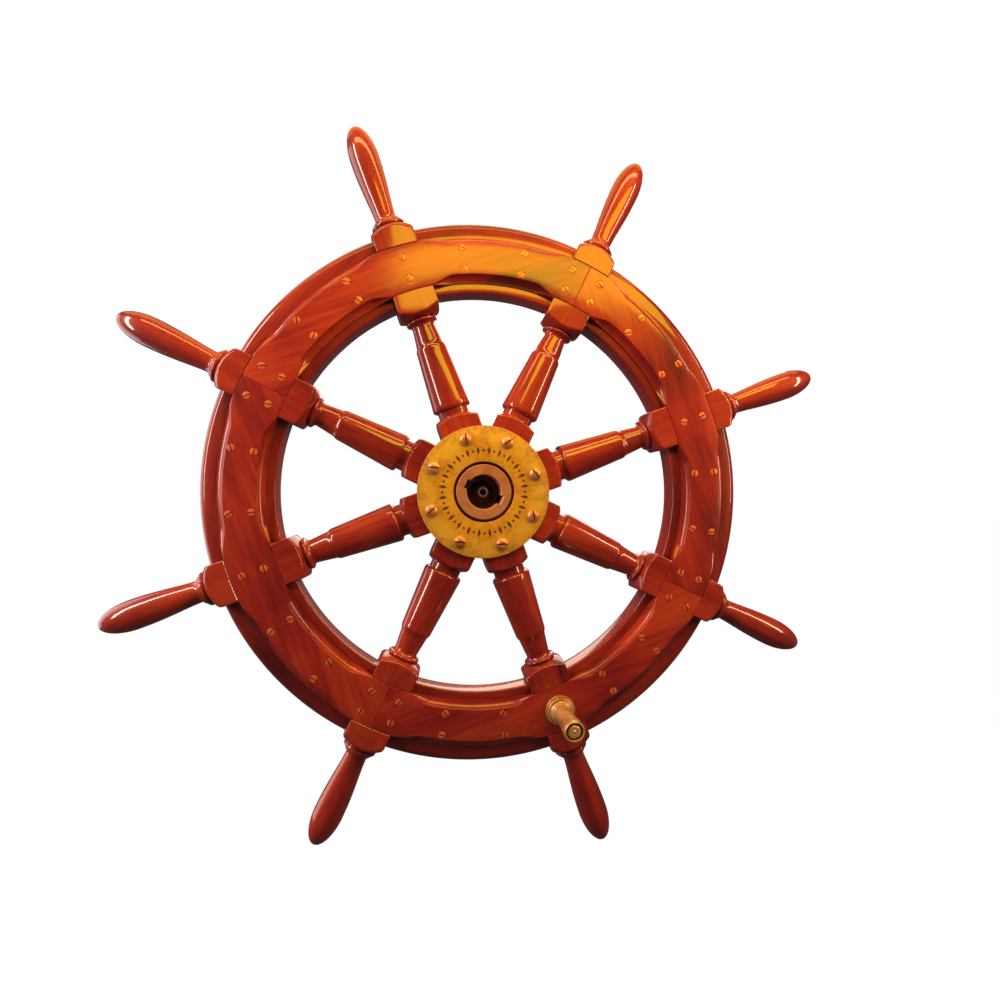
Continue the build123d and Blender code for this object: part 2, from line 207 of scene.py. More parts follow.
class Finish(Nodes):
    """A material under construction."""

    def __init__(self, name):
        self.material = bpy.data.materials.new(name)
        super().__init__(self.material)
        self.shader = self.node("ShaderNodeBsdfPrincipled", {})
        output = self.node("ShaderNodeOutputMaterial", {})
        self.link(self.shader["BSDF"], output.node.inputs["Surface"])

    def place(self):
        """Where a point lies on its own piece, in metres."""
        return self.node("ShaderNodeTexCoord", {})["Object"]

    def stretched(self, place, scale):
        return self.node("ShaderNodeVectorMath", {"operation": "MULTIPLY"}, place, scale)[0]

    def noise(self, place, scale, detail=4.0, roughness=0.5, seed=0.0, distortion=0.0):
        settings = {"noise_dimensions": "4D"}
        node = self.node(
            "ShaderNodeTexNoise",
            settings,
            Vector=place,
            W=seed,
            Scale=scale,
            Detail=detail,
            Roughness=roughness,
            Distortion=distortion,
        )
        return node["Fac"]

    def piece_number(self):
        """A different number from 0 to 1 on every piece."""
        return self.node("ShaderNodeObjectInfo", {})["Random"]

    def corner_shade(self, reach):
        """1 in the open, towards 0 in corners and gaps narrower than reach metres."""
        settings = {"samples": 16, "only_local": False}
        return self.node("ShaderNodeAmbientOcclusion", settings, Distance=reach)["AO"]

    def bump(self, height, strength, distance, normal=None):
        node = self.node(
            "ShaderNodeBump", {}, Strength=strength, Distance=distance, Height=height
        )
        self.link(normal, node.node.inputs["Normal"])
        return node["Normal"]

    def surface(self, **sockets):
        for key, value in sockets.items():
            value = (*value, 1.0) if isinstance(value, tuple) else value
            self.link(value, self.shader.node.inputs[key.replace("_", " ")])
        return self.material


# ---- finishes ----

ALONG = {"X": (0.09, 1.0, 1.0), "Y": (1.0, 0.09, 1.0)}


def mahogany(name, grain, gloss, wear, light, mid, dark):
    """Varnished mahogany. grain is the axis of the piece along which the fibres run, gloss the
    roughness of its varnish, and wear how much hands and tools have marked it."""
    finish = Finish(name)
    place = finish.place()
    number = finish.piece_number() * 40.0
    fibre = finish.stretched(place, ALONG[grain])
    figure = finish.noise(fibre, 22.0, 3.0, 0.55, number, 0.9)
    streaks = finish.noise(fibre, 210.0, 4.0, 0.6, number, 0.3)
    hair = finish.noise(finish.stretched(fibre, ALONG[grain]), 1500.0, 2.0, 0.5, number)
    clouds = finish.noise(place, 7.0, 3.0, 0.5, number)

    tone = (figure * 0.7 + streaks * 0.4 + clouds * 0.65 - 0.375).clamp()
    colour = finish.node(
        "ShaderNodeValToRGB", {"stops": [(0.28, dark), (0.5, mid), (0.76, light)]}, tone
    )[0]
    pores = hair.between(0.6, 0.72) * 0.4
    colour = finish.mix(pores, colour, dark)
    # Grime and painted shade: corners, joints and gaps darken to near black, as far as the corner shading reaches.
    grime_and_painted_shade = 1.0 - finish.corner_shade(0.012).between(0.1, 0.66)
    colour = finish.mix(grime_and_painted_shade * 0.88, colour, (0.02, 0.003, 0.002))

    waves = finish.noise(place, 16.0, 2.0, 0.4, number)
    dents = finish.noise(place, 60.0, 2.0, 0.5, number).between(0.58, 0.72)
    rubs = finish.noise(fibre, 120.0, 3.0, 0.65, number, 1.2)
    normal = finish.bump(waves - dents * 0.12, 0.6 * wear, 0.0012)
    normal = finish.bump(rubs + streaks * 0.4, 0.3 * wear, 0.0003, normal)
    rough = streaks * 0.12 + clouds * 0.1 + 0.3
    return finish.surface(
        Base_Color=colour,
        Roughness=rough,
        Normal=normal,
        Coat_Weight=1.0,
        Coat_Roughness=gloss,
        Coat_IOR=1.55,
        Specular_IOR_Level=0.4,
        Specular_Tint=(1.0, 0.5, 0.2),
    )


def aged_metal(name, bright, worn, tarnish, amount, roughness, turned=False):
    """Cast or turned yellow metal with tarnish in blotches, and grime and painted shade darkening its corners."""
    finish = Finish(name)
    place = finish.place()
    blotches = finish.noise(place, 45.0, 5.0, 0.62, 3.1, 0.6)
    fine = finish.noise(place, 380.0, 4.0, 0.65, 1.7)
    # Grime and painted shade: corners and gaps darken and lose their metal lustre.
    grime_and_painted_shade = 1.0 - finish.corner_shade(0.004).between(0.2, 0.8)
    colour = finish.mix(blotches.between(0.35, 0.68), bright, worn)
    patina = (fine * 0.6 + blotches * 0.6).between(0.62, 0.84) * amount
    colour = finish.mix(patina, colour, tarnish)
    colour = finish.mix(grime_and_painted_shade * 0.85, colour, (0.03, 0.014, 0.008))
    normal = finish.bump(fine * 0.5 + blotches * 0.5, 0.35, 0.0004)
    if turned:
        rings = finish.noise(finish.stretched(place, (0.0, 0.0, 1.0)), 900.0, 2.0, 0.5, 5.0)
        normal = finish.bump(rings, 0.12, 0.0002, normal)
    return finish.surface(
        Base_Color=colour,
        Metallic=0.55 - patina * 0.3 - grime_and_painted_shade * 0.3,
        Roughness=fine * 0.18 + patina * 0.3 + roughness,
        Normal=normal,
    )


def hub_brass():
    """Old lacquered brass plate: golden face, brown and green bloom towards the edge."""
    finish = Finish("hub_brass")
    place = finish.place()
    flat = finish.stretched(place, (1.0, 1.0, 0.0))
    radius = finish.node("ShaderNodeVectorMath", {"operation": "LENGTH"}, flat)["Value"] / MM
    blotches = finish.noise(place, 38.0, 6.0, 0.62, 2.2, 0.8)
    fine = finish.noise(place, 260.0, 5.0, 0.7, 6.4, 0.4)
    scratches = finish.noise(finish.stretched(place, (0.15, 1.0, 1.0)), 700.0, 3.0, 0.6, 4.0)
    edge = radius.between(66.0, 86.0)
    # Grime and painted shade: corners and gaps darken and lose their metal lustre.
    grime_and_painted_shade = 1.0 - finish.corner_shade(0.004).between(0.25, 0.85)
    height = finish.node("ShaderNodeSeparateXYZ", {}, place)["Z"] / MM
    sunk = (HUB_FACE - 0.15 - height).between(0.0, 0.5)

    around_bolts = 1.0 - (radius - HUB_BOLT_PCR).magnitude().between(4.0, 13.0)
    colour = finish.mix(blotches.between(0.34, 0.64), (0.98, 0.47, 0.03), (0.80, 0.33, 0.018))
    colour = finish.mix(fine.between(0.5, 0.7) * 0.6, colour, (0.55, 0.20, 0.012))
    # Painted highlight: bright yellow patches on the face round the bolts.
    painted_bolt_highlight = around_bolts * (0.75 - blotches).between(0.1, 0.3)
    colour = finish.mix(painted_bolt_highlight * 0.8, colour, (1.0, 0.56, 0.05))
    bloom = (blotches + edge * 0.2 - 0.03).between(0.54, 0.7) * fine.between(0.36, 0.6)
    colour = finish.mix(bloom * 0.6, colour, (0.28, 0.2, 0.08))
    colour = finish.mix(grime_and_painted_shade * 0.9, colour, (0.09, 0.035, 0.008))
    # Painted shade: below the front face and away from the rim the colour darkens. This takes in the stamped
    # marks, the wall of the centre hole and the rear plate too.
    colour = finish.mix(sunk * (1.0 - edge) * 0.85, colour, (0.13, 0.045, 0.008))
    normal = finish.bump(blotches * 0.8 + fine * 0.3, 0.6, 0.0014)
    normal = finish.bump(scratches, 0.1, 0.0002, normal)
    return finish.surface(
        Base_Color=colour,
        Metallic=0.3 - bloom * 0.2 - grime_and_painted_shade * 0.2,
        Roughness=fine * 0.2 + bloom * 0.25 + 0.27,
        Normal=normal,
    )


def oily_steel():
    """Steel bright at the end that hands reach; deeper in, and in its corners, painted shade turns it black under
    a wet coat.
    """
    finish = Finish("spindle_steel")
    place = finish.place()
    blotches = finish.noise(place, 160.0, 4.0, 0.6, 2.6)
    depth = finish.node("ShaderNodeSeparateXYZ", {}, place)["Z"] / MM
    # Painted shade: reach is 1 where the steel is open and near its tip. Elsewhere, down the bore and in corners,
    # the colour turns black and loses its lustre.
    reach = finish.corner_shade(0.02).between(0.25, 0.8) * depth.between(2.0, 19.0)
    painted_bore_shade = 1.0 - reach
    colour = finish.mix(blotches, (0.75, 0.62, 0.56), (0.5, 0.34, 0.28))
    colour = finish.mix(painted_bore_shade, colour, (0.025, 0.012, 0.010))
    normal = finish.bump(blotches, 0.3, 0.0004)
    return finish.surface(
        Base_Color=colour,
        Metallic=reach * 0.7 + 0.2,
        Roughness=blotches * 0.2 + 0.22,
        Normal=normal,
        Coat_Weight=painted_bore_shade * 0.5,
        Coat_Roughness=0.12,
    )


def screw_bronze():
    """Bronze screw heads under old varnish."""
    finish = Finish("screw_bronze")
    place = finish.place()
    blotches = finish.noise(place, 90.0, 4.0, 0.6, 8.2)
    # Grime and painted shade: the slots and the gap round each head darken to near black.
    grime_and_painted_shade = 1.0 - finish.corner_shade(0.0025).between(0.3, 0.9)
    colour = finish.mix(blotches.between(0.35, 0.65), (1.0, 0.21, 0.045), (0.78, 0.12, 0.03))
    colour = finish.mix(grime_and_painted_shade * 0.9, colour, (0.04, 0.01, 0.005))
    normal = finish.bump(blotches, 0.3, 0.0004)
    return finish.surface(
        Base_Color=colour,
        Metallic=0.35,
        Roughness=blotches * 0.2 + 0.3,
        Normal=normal,
        Coat_Weight=0.6,
        Coat_Roughness=0.15,
    )


def plain_wood(name, colour):
    finish = Finish(name)
    streaks = finish.noise(finish.stretched(finish.place(), (1.0, 1.0, 0.2)), 300.0)
    shade = finish.mix(streaks, colour, tuple(channel * 0.6 for channel in colour))
    return finish.surface(Base_Color=shade, Roughness=0.6)


FINISHES = {
    "spoke_mahogany": mahogany(
        "spoke_mahogany",
        grain="X",
        gloss=0.07,
        wear=0.0,
        light=(0.54, 0.055, 0.013),
        mid=(0.32, 0.018, 0.009),
        dark=(0.09, 0.004, 0.004),
    ),
    "felloe_mahogany": mahogany(
        "felloe_mahogany",
        grain="Y",
        gloss=0.08,
        wear=0.15,
        light=(0.46, 0.044, 0.013),
        mid=(0.27, 0.015, 0.008),
        dark=(0.08, 0.004, 0.004),
    ),
    "facing_mahogany": mahogany(
        "facing_mahogany",
        grain="Y",
        gloss=0.2,
        wear=1.0,
        light=(0.58, 0.058, 0.014),
        mid=(0.33, 0.016, 0.010),
        dark=(0.10, 0.005, 0.005),
    ),
    "dowel_wood": plain_wood("dowel_wood", (0.45, 0.28, 0.13)),
    "screw_bronze": screw_bronze(),
    "plate_brass": hub_brass(),
    "boss_bronze": aged_metal(
        "boss_bronze", (0.80, 0.33, 0.14), (0.64, 0.22, 0.08), (0.30, 0.10, 0.045), 0.6, 0.34
    ),
    "bolt_bronze": aged_metal(
        "bolt_bronze", (0.95, 0.42, 0.15), (0.68, 0.23, 0.07), (0.24, 0.08, 0.03), 0.8, 0.3
    ),
    "crank_brass": aged_metal(
        "crank_brass", (1.0, 0.62, 0.24), (0.60, 0.24, 0.07), (0.20, 0.06, 0.025), 1.2, 0.22, True
    ),
    "spindle_steel": oily_steel(),
    "flange_iron": aged_metal(
        "flange_iron", (0.06, 0.06, 0.06), (0.04, 0.04, 0.04), (0.10, 0.04, 0.02), 0.5, 0.5
    ),
}


# ---- mesh work ----

SHARP_EDGE = 32.0


def add_loft(shape, rings, closed=False):
    """Faces through rings of points, capped at both ends or closed on themselves."""
    rows = [[shape.verts.new(Vector(point) * MM) for point in ring] for ring in rings]
    pairs = list(zip(rows, rows[1:]))
    if closed:
        pairs.append((rows[-1], rows[0]))
    for first, second in pairs:
        count = len(first)
        for i in range(count):
            j = (i + 1) % count
            shape.faces.new((first[i], first[j], second[j], second[i]))
    if not closed:
        shape.faces.new(rows[0])
        shape.faces.new(rows[-1])


def piece(name, rings, slot, closed=False, turn=0.0, at=(0, 0, 0), sharp=SHARP_EDGE):
    """A loft as an object on the bench, turned by an angle."""
    shape = bmesh.new()
    add_loft(shape, rings, closed)
    bmesh.ops.remove_doubles(shape, verts=shape.verts, dist=1e-6)
    bmesh.ops.recalc_face_normals(shape, faces=shape.faces)
    mesh = bpy.data.meshes.new(name)
    shape.to_mesh(mesh)
    shape.free()
    return placed(name, mesh, slot, turn, at, sharp)


def smooth_but_sharp(mesh, sharp):
    """Smooth shading that breaks at edges steeper than sharp degrees."""
    shape = bmesh.new()
    shape.from_mesh(mesh)
    for face in shape.faces:
        face.smooth = True
    for edge in shape.edges:
        edge.smooth = edge.calc_face_angle(3.0) < math.radians(sharp)
    shape.to_mesh(mesh)
    shape.free()


def placed(name, mesh, slot, turn=0.0, at=(0, 0, 0), sharp=SHARP_EDGE):
    """A mesh with its finish, on the bench."""
    smooth_but_sharp(mesh, sharp)
    mesh.materials.clear()
    mesh.materials.append(FINISHES[slot])
    thing = bpy.data.objects.new(name, mesh)
    bpy.context.scene.collection.objects.link(thing)
    local = Matrix.Rotation(math.radians(turn), 4, "Z") @ Matrix.Translation(Vector(at) * MM)
    thing.matrix_world = BENCH @ local
    return thing


def stand_in(thing, slot, body, *nodes):
    """The object takes the place of its nodes and moves with their body."""
    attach(thing, body)
    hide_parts(*nodes)


def arc_points(first, through, last, count):
    """Points along the circle through three points, the first left out."""
    (ax, ay), (bx, by), (cx, cy) = first, through, last
    d = 2 * (ax * (by - cy) + bx * (cy - ay) + cx * (ay - by))
    a2, b2, c2 = ax**2 + ay**2, bx**2 + by**2, cx**2 + cy**2
    ux = (a2 * (by - cy) + b2 * (cy - ay) + c2 * (ay - by)) / d
    uy = (a2 * (cx - bx) + b2 * (ax - cx) + c2 * (bx - ax)) / d
    radius = math.hypot(ax - ux, ay - uy)
    start = math.atan2(ay - uy, ax - ux)
    sweep_through = (math.atan2(by - uy, bx - ux) - start) % math.tau
    sweep = (math.atan2(cy - uy, cx - ux) - start) % math.tau
    if sweep_through > sweep:
        sweep -= math.tau
    angles = [start + sweep * i / count for i in range(1, count + 1)]
    return [(ux + radius * math.cos(a), uy + radius * math.sin(a)) for a in angles]


def line_points(first, last, count=1):
    """Points along a straight line, the first left out."""
    steps = [i / count for i in range(1, count + 1)]
    return [tuple(a + (b - a) * t for a, b in zip(first, last)) for t in steps]


def bezier_points(p0, p1, p2, p3, count):
    """Points along a curve with two handles, the first left out."""
    points = []
    for i in range(1, count + 1):
        t = i / count
        s = 1 - t
        pulls = list(zip((s**3, 3 * s * s * t, 3 * s * t * t, t**3), (p0, p1, p2, p3)))
        points.append(tuple(sum(w * p[axis] for w, p in pulls) for axis in (0, 1)))
    return points


def eased(corners, steps=3):
    """A polygon given as (x, y, rounding), its corners rounded off."""
    points = []
    count = len(corners)
    for i, (x, y, rounding) in enumerate(corners):
        here = Vector((x, y))
        if rounding == 0:
            points.append((x, y))
            continue
        before = (Vector(corners[i - 1][:2]) - here).normalized() * rounding
        after = (Vector(corners[(i + 1) % count][:2]) - here).normalized() * rounding
        for step in range(steps + 1):
            t = step / steps
            point = here + before * (1 - t) ** 2 + after * t**2
            points.append((point.x, point.y))
    return points


def at_angle(section, a):
    """A section of (radius, height) points, stood up at an angle in radians."""
    return [(r * math.cos(a), r * math.sin(a), z) for r, z in section]


def spun(section, segments):
    """Copies of a section all round the axis, for a ring with a hole."""
    return [at_angle(section, math.tau * i / segments) for i in range(segments)]


def circle(radius, z, segments, x=0.0, y=0.0):
    angles = [math.tau * i / segments for i in range(segments)]
    return [(x + radius * math.cos(a), y + radius * math.sin(a), z) for a in angles]


def solid_spun(outline, segments, x=0.0, y=0.0):
    """Rings of an outline that starts and ends near the axis, one ring per outline point."""
    return [circle(r, z, segments, x, y) for r, z in outline]


def cut(thing, cutters):
    """The piece with the cutters taken out of it."""
    tool = bpy.data.objects.new("tool", joined(cutters))
    bpy.context.scene.collection.objects.link(tool)
    tool.matrix_world = thing.matrix_world
    modifier = thing.modifiers.new("cut", "BOOLEAN")
    modifier.operation = "DIFFERENCE"
    modifier.solver = "EXACT"
    modifier.object = tool
    bpy.context.view_layer.update()
    graph = bpy.context.evaluated_depsgraph_get()
    shaped = bpy.data.meshes.new_from_object(thing.evaluated_get(graph))
    thing.modifiers.clear()
    thing.data = shaped
    bpy.data.objects.remove(tool)
    smooth_but_sharp(shaped, SHARP_EDGE)


def joined(parts):
    """One mesh of several closed lofts, each a list of rings."""
    shape = bmesh.new()
    for rings in parts:
        add_loft(shape, rings)
    bmesh.ops.recalc_face_normals(shape, faces=shape.faces)
    mesh = bpy.data.meshes.new("parts")
    shape.to_mesh(mesh)
    shape.free()
    return mesh


# ---- spokes ----


def lowest(a, b, ease):
    """The lesser of two lengths, rounded off where they meet."""
    h = max(ease - abs(a - b), 0.0) / ease
    return min(a, b) - h * h * ease / 4


def spoke_outline():
    """(distance from the spin axis, radius) along a spoke, square zones at the stock's corner."""
    full = CORNER + 1
    points = [(BOSS_R - 1, full)]
    points += line_points(points[-1], (97, full), 8)
    points += arc_points((97, full), (104, HALF), (107, 20.5), 18)
    points += line_points((107, 20.5), (115, 20.5), 3)
    points += arc_points((115, 20.5), (116, 23.8), (119.5, 25.4), 8)
    points += line_points((119.5, 25.4), (196, 20.4), 14)
    points += arc_points((196, 20.4), (200.4, 19.8), (203.5, 18.1), 6)
    points += line_points((203.5, 18.1), (227, 15.4), 5)
    points += arc_points((227, 15.4), (231, 15.9), (233.2, 18.4), 7)
    points += arc_points((233.2, 18.4), (235.8, 20.8), (238.2, 18.4), 10)
    points += arc_points((238.2, 18.4), (241.9, HALF), (248.5, full), 26)
    points += line_points((248.5, full), (FACING_IN - JOINT_GAP, full), 7)
    points += line_points(points[-1], (FACING_OUT + JOINT_GAP, full), 6)
    points += line_points(points[-1], (347, full), 5)
    points += arc_points((347, full), (358, HALF), (362.2, 20.2), 30)
    points += arc_points((362.2, 20.2), (365.4, 22), (368.2, 18.6), 10)
    points += arc_points((368.2, 18.6), (370.8, 17.9), (373.4, 14.6), 8)
    points += line_points((373.4, 14.6), (376, 14), 2)
    points += bezier_points((376, 14), (395, 14.2), (420, 19.1), (456, 19.1), 26)
    for i in range(1, 19):
        angle = math.radians(90 * i / 18.4)
        points.append((456 + (TIP_R - 456.5) * math.sin(angle), 19.1 * math.cos(angle)))
    return points


def around_stock():
    """Angles round a spoke, closer together at the stock's corners."""
    offsets = (-45, -44, -42.5, -40, -36, -32, -28, -24, -20, -16, -12, -8, -4)
    quarter = offsets + (0,) + tuple(-offset for offset in reversed(offsets[1:]))
    return [math.radians(side * 90 + offset) for side in range(4) for offset in quarter]


def spoke_rings():
    rings = []
    wedge = math.tan(math.radians(PITCH / 2))
    seat_low = FACING_IN - JOINT_GAP
    seat_high = FACING_OUT + JOINT_GAP
    stations = []
    for x, r in spoke_outline():
        if abs(x - seat_low) < 0.01:
            stations += [(x - 0.5, r, HALF), (x, r, HALF - 0.5), (x, r, FELLOE_HALF)]
        elif abs(x - seat_high) < 0.01:
            stations += [(x, r, FELLOE_HALF), (x, r, HALF - 0.5), (x + 0.5, r, HALF)]
        else:
            stations.append((x, r, FELLOE_HALF if seat_low < x < seat_high else HALF))
    for x, r, depth in stations:
        ring = []
        across = min(1.0, x * wedge / HALF)
        on_arc = x < BOSS_R + 1 or seat_low - 8 < x < seat_high + 8
        near_shoulder = min(abs(x - 352), abs(x - 244)) < 9
        for angle in around_stock():
            c, s = math.cos(angle), math.sin(angle)
            side = HALF / max(abs(c), 1e-6)
            face = HALF / max(abs(s), 1e-6)
            reach = lowest(lowest(side, face, 2.8), r, 3.2 if near_shoulder else 1.4)
            y = reach * c * across
            z = reach * s * depth / HALF
            ring.append((math.sqrt(x * x - y * y) if on_arc else x, y, z))
        rings.append(ring)
    return rings


def make_spokes():
    rings = spoke_rings()
    for number in range(1, SPOKES + 1):
        name = f"spoke_{number}"
        spoke = piece(f"turned_{name}", rings, "spoke_mahogany", turn=spoke_angle(number), sharp=40.0)
        stand_in(spoke, "spoke_mahogany", "wheel", name)


# ---- rim ----


def felloe_section():
    """(radius, height): tight arris inside, broad quarter round outside that starts at an arris."""
    start, reach, steep = FELLOE_OUT - 8, 9, math.radians(18)
    front = [(start, FELLOE_HALF)]
    front += bezier_points(
        (start, FELLOE_HALF),
        (start + 4.6 * math.cos(steep), FELLOE_HALF - 4.6 * math.sin(steep)),
        (FELLOE_OUT, FELLOE_HALF - reach + 4.4),
        (FELLOE_OUT, FELLOE_HALF - reach),
        9,
    )
    width = start - FELLOE_IN
    flat = [(FELLOE_IN + width * share, FELLOE_HALF) for share in (0.1, 0.25, 0.45, 0.65, 0.85)]
    inner = eased([(FELLOE_IN, 0, 0), (FELLOE_IN, FELLOE_HALF, 3), (start, FELLOE_HALF, 0)], 5)
    inner = inner[1:-1]
    half = inner + flat + front
    return half + [(r, -z) for r, z in reversed(half)]


def make_felloes():
    section = felloe_section()
    rings = []
    steps = 72
    for i in range(steps + 1):
        share = 2 * i / steps - 1
        ring = []
        for r, z in section:
            angle = share * (math.radians(PITCH / 2) - math.asin((HALF + 0.1) / r))
            ring.append((r * math.cos(angle), r * math.sin(angle), z))
        rings.append(ring)
    for number in range(1, SPOKES + 1):
        name = f"felloe_{number}"
        turn = spoke_angle(number) + PITCH / 2
        felloe = piece(f"shaped_{name}", rings, "felloe_mahogany", turn=turn)
        stand_in(felloe, "felloe_mahogany", "wheel", name)


def cove_depth(angle):
    """Radius of the cove at an angle from the middle of a bay: it runs out near the spokes."""
    full, out = 10.9, 17.3
    t = min(max((out - abs(angle)) / (out - full), 0.0), 1.0)
    return 0.8 + (COVE - 0.8) * t * t * (3 - 2 * t)


def facing_section(angle):
    """Cross-section (radius, height) of the front facing at an angle from its middle spoke."""
    to_bay = abs(angle) - PITCH / 2
    cove = cove_depth(to_bay)
    ease = min(0.7, 0.35 * cove)
    top = HALF
    down = [math.radians(9 * i) for i in range(11)]
    up = [math.radians(90 - 9 * i) for i in range(11)]
    outer = [(FACING_OUT - cove * math.cos(a), top - cove * math.sin(a)) for a in down]
    inner = [(FACING_IN + cove * math.cos(a), top - cove * math.sin(a)) for a in up]
    width = FACING_OUT - FACING_IN
    corners = [(FACING_IN, FELLOE_HALF, 0)]
    corners += [(r, z, 0) for r, z in inner[:-1]] + [(*inner[-1], ease)]
    corners += [(FACING_IN + width * share, top, 0) for share in (0.3, 0.5, 0.7)]
    corners += [(*outer[0], ease)] + [(r, z, 0) for r, z in outer[1:]]
    corners += [(FACING_OUT, FELLOE_HALF, 0)]
    return eased(corners)


def facing_rings():
    rings = []
    end = PITCH - 0.02
    steps = 300
    for i in range(steps + 1):
        angle = end * (2 * i / steps - 1)
        section = facing_section(angle)
        if i in (0, steps):
            section = [(r, min(z, HALF - 0.6)) for r, z in section]
        rings.append(at_angle(section, math.radians(angle)))
    near = math.radians(end - 0.11)
    for sign, place in ((-1, 1), (1, steps + 1)):
        rings.insert(place, at_angle(facing_section(end), sign * near))
    return rings


def screw_places(crank):
    """(angle, radius) of the screws of one facing, from its middle."""
    offsets = [offset for offset in SCREW_OFFSETS if not (crank and abs(offset) < 1)]
    return [(offset, row) for offset in offsets for row in SCREW_ROWS]


def disc_rings(radius, low, high, x, y, segments=28):
    return [circle(radius, z, segments, x, y) for z in (low, high)]


def screw_rings(x, y):
    """A slightly domed countersunk head, whose slot is cut afterwards."""
    outline = [(2.2, HALF - 3.4), (SCREW_HEAD_R - 0.1, HALF - 0.5)]
    outline += [(SCREW_HEAD_R - 0.2, HALF - 0.05), (3.4, HALF + 0.28), (1.6, HALF + 0.38)]
    return solid_spun(outline, 24, x, y)


def slot_rings(x, y, turn, width, length, low, high):
    """A straight bar across a head, to cut its slot."""
    c, s = math.cos(math.radians(turn)), math.sin(math.radians(turn))
    half = width / 2
    corners = [(-length, -half), (length, -half), (length, half), (-length, half)]
    return [[(x + u * c - v * s, y + u * s + v * c, z) for u, v in corners] for z in (low, high)]


def flipped(rings):
    """The same rings on the wheel's other side."""
    return [[(x, y, -z) for x, y, z in ring] for ring in rings]


def make_facings():
    rings = {1: facing_rings()}
    rings[-1] = flipped(rings[1])
    heads = {1: [], -1: []}
    for quarter, middle in enumerate(range(1, SPOKES, 2), start=1):
        for side, word in ((1, "front"), (-1, "rear")):
            name = f"{word}_facing_{quarter}"
            turn = spoke_angle(middle)
            thing = piece(f"coved_{name}", rings[side], "facing_mahogany", turn=turn)
            holes = []
            for offset, row in screw_places(middle == CRANK_SPOKE):
                a = math.radians(offset)
                x, y = row * math.cos(a), row * math.sin(a)
                floor, above = side * (HALF - 1.5), side * (HALF + 2)
                holes.append(disc_rings(SCREW_HEAD_R + 0.25, floor, above, x, y))
                b = math.radians(offset + spoke_angle(middle))
                slot_turn = (offset * 7 + 53 * quarter + row) % 180
                heads[side].append((row * math.cos(b), row * math.sin(b), slot_turn))
            cut(thing, holes)
            stand_in(thing, "facing_mahogany", "wheel", name)
    for side, word in ((1, "front"), (-1, "rear")):
        name = f"{word}_facing_screws"
        reach, floor, above = SCREW_HEAD_R + 1, HALF - 0.9, HALF + 2
        screws = [screw_rings(x, y) for x, y, _ in heads[side]]
        slots = [slot_rings(x, y, turn, 1.3, reach, floor, above) for x, y, turn in heads[side]]
        if side < 0:
            screws = [flipped(head) for head in screws]
            slots = [flipped(bar) for bar in slots]
        thing = placed(f"slotted_{name}", joined(screws), "screw_bronze")
        cut(thing, slots)
        stand_in(thing, "screw_bronze", "wheel", name)


# ---- hub ----


def make_hub_plates():
    for side, word in ((1, "front"), (-1, "rear")):
        section = eased(
            [
                (PLATE_HOLE_R, side * HALF, 0),
                (PLATE_R, side * HALF, 0),
                (PLATE_R, side * HUB_FACE, 1.2),
                (PLATE_HOLE_R, side * HUB_FACE, 0.8),
            ]
        )
        plate = piece(f"cast_{word}_hub_plate", spun(section, 160), "plate_brass", closed=True)
        if side > 0:
            cut(plate, border_marks())
        stand_in(plate, "plate_brass", "wheel", f"{word}_hub_plate")


def border_marks():
    """Stamped border between bolts and boss: lozenges with a dot between each two."""
    marks = []
    low, high = HUB_FACE - MARK_DEPTH, HUB_FACE + 1
    lozenge = ((5.6, 0), (0.8, 1.9), (-0.8, 1.9), (-5.6, 0), (-0.8, -1.9), (0.8, -1.9))
    for i in range(BORDER_MARKS):
        a = math.tau * (i + 0.5) / BORDER_MARKS
        c, s = math.cos(a), math.sin(a)
        if i % 2:
            marks.append(disc_rings(1.5, low, high, BORDER_R * c, BORDER_R * s, 14))
            continue
        sunk = [((BORDER_R + u) * c - v * s, (BORDER_R + u) * s + v * c) for u, v in lozenge]
        marks.append([[(x, y, z) for x, y in sunk] for z in (low, high)])
    return marks


def boss_bore():
    """The bore with its two keyways, as (angle in degrees, radius) points all round."""
    floor = BOSS_BORE_R + KEYWAY_DEPTH
    floor_edge = math.degrees(math.asin(KEYWAY_HALF / floor))
    mouth_edge = math.degrees(math.asin(KEYWAY_HALF / BOSS_BORE_R))
    flat = floor * math.cos(math.radians(floor_edge))
    steps = 36
    bore = []
    for half_turn in (0, 180):
        start = spoke_angle(4) + half_turn
        for a in (-floor_edge * 0.99, 0, floor_edge * 0.99):
            bore.append((start + a, flat / math.cos(math.radians(a))))
        for i in range(steps + 1):
            bore.append((start + mouth_edge + (180 - 2 * mouth_edge) * i / steps, BOSS_BORE_R))
    return bore


def make_boss():
    """Keyed boss; its keyways lie along spokes 4 and 8."""
    bore = boss_bore()
    levels = ((0, HUB_FACE - BOSS_CHAMFER), (BOSS_CHAMFER, HUB_FACE))
    levels += ((BOSS_CHAMFER, -HUB_FACE), (0, -HUB_FACE + BOSS_CHAMFER))
    inner = []
    outer = []
    for bevel, z in levels:
        turns = [(math.radians(a), r) for a, r in bore]
        inner.append([((r + bevel) * math.cos(a), (r + bevel) * math.sin(a), z) for a, r in turns])
        edge = BOSS_R - bevel
        outer.append([(edge * math.cos(a), edge * math.sin(a), z) for a, _ in turns])
    rings = [outer[0], outer[1], inner[1], inner[0], inner[3], inner[2], outer[2], outer[3]]
    boss = piece("keyed_hub_boss", rings, "boss_bronze", closed=True)
    stand_in(boss, "boss_bronze", "wheel", "hub_boss")


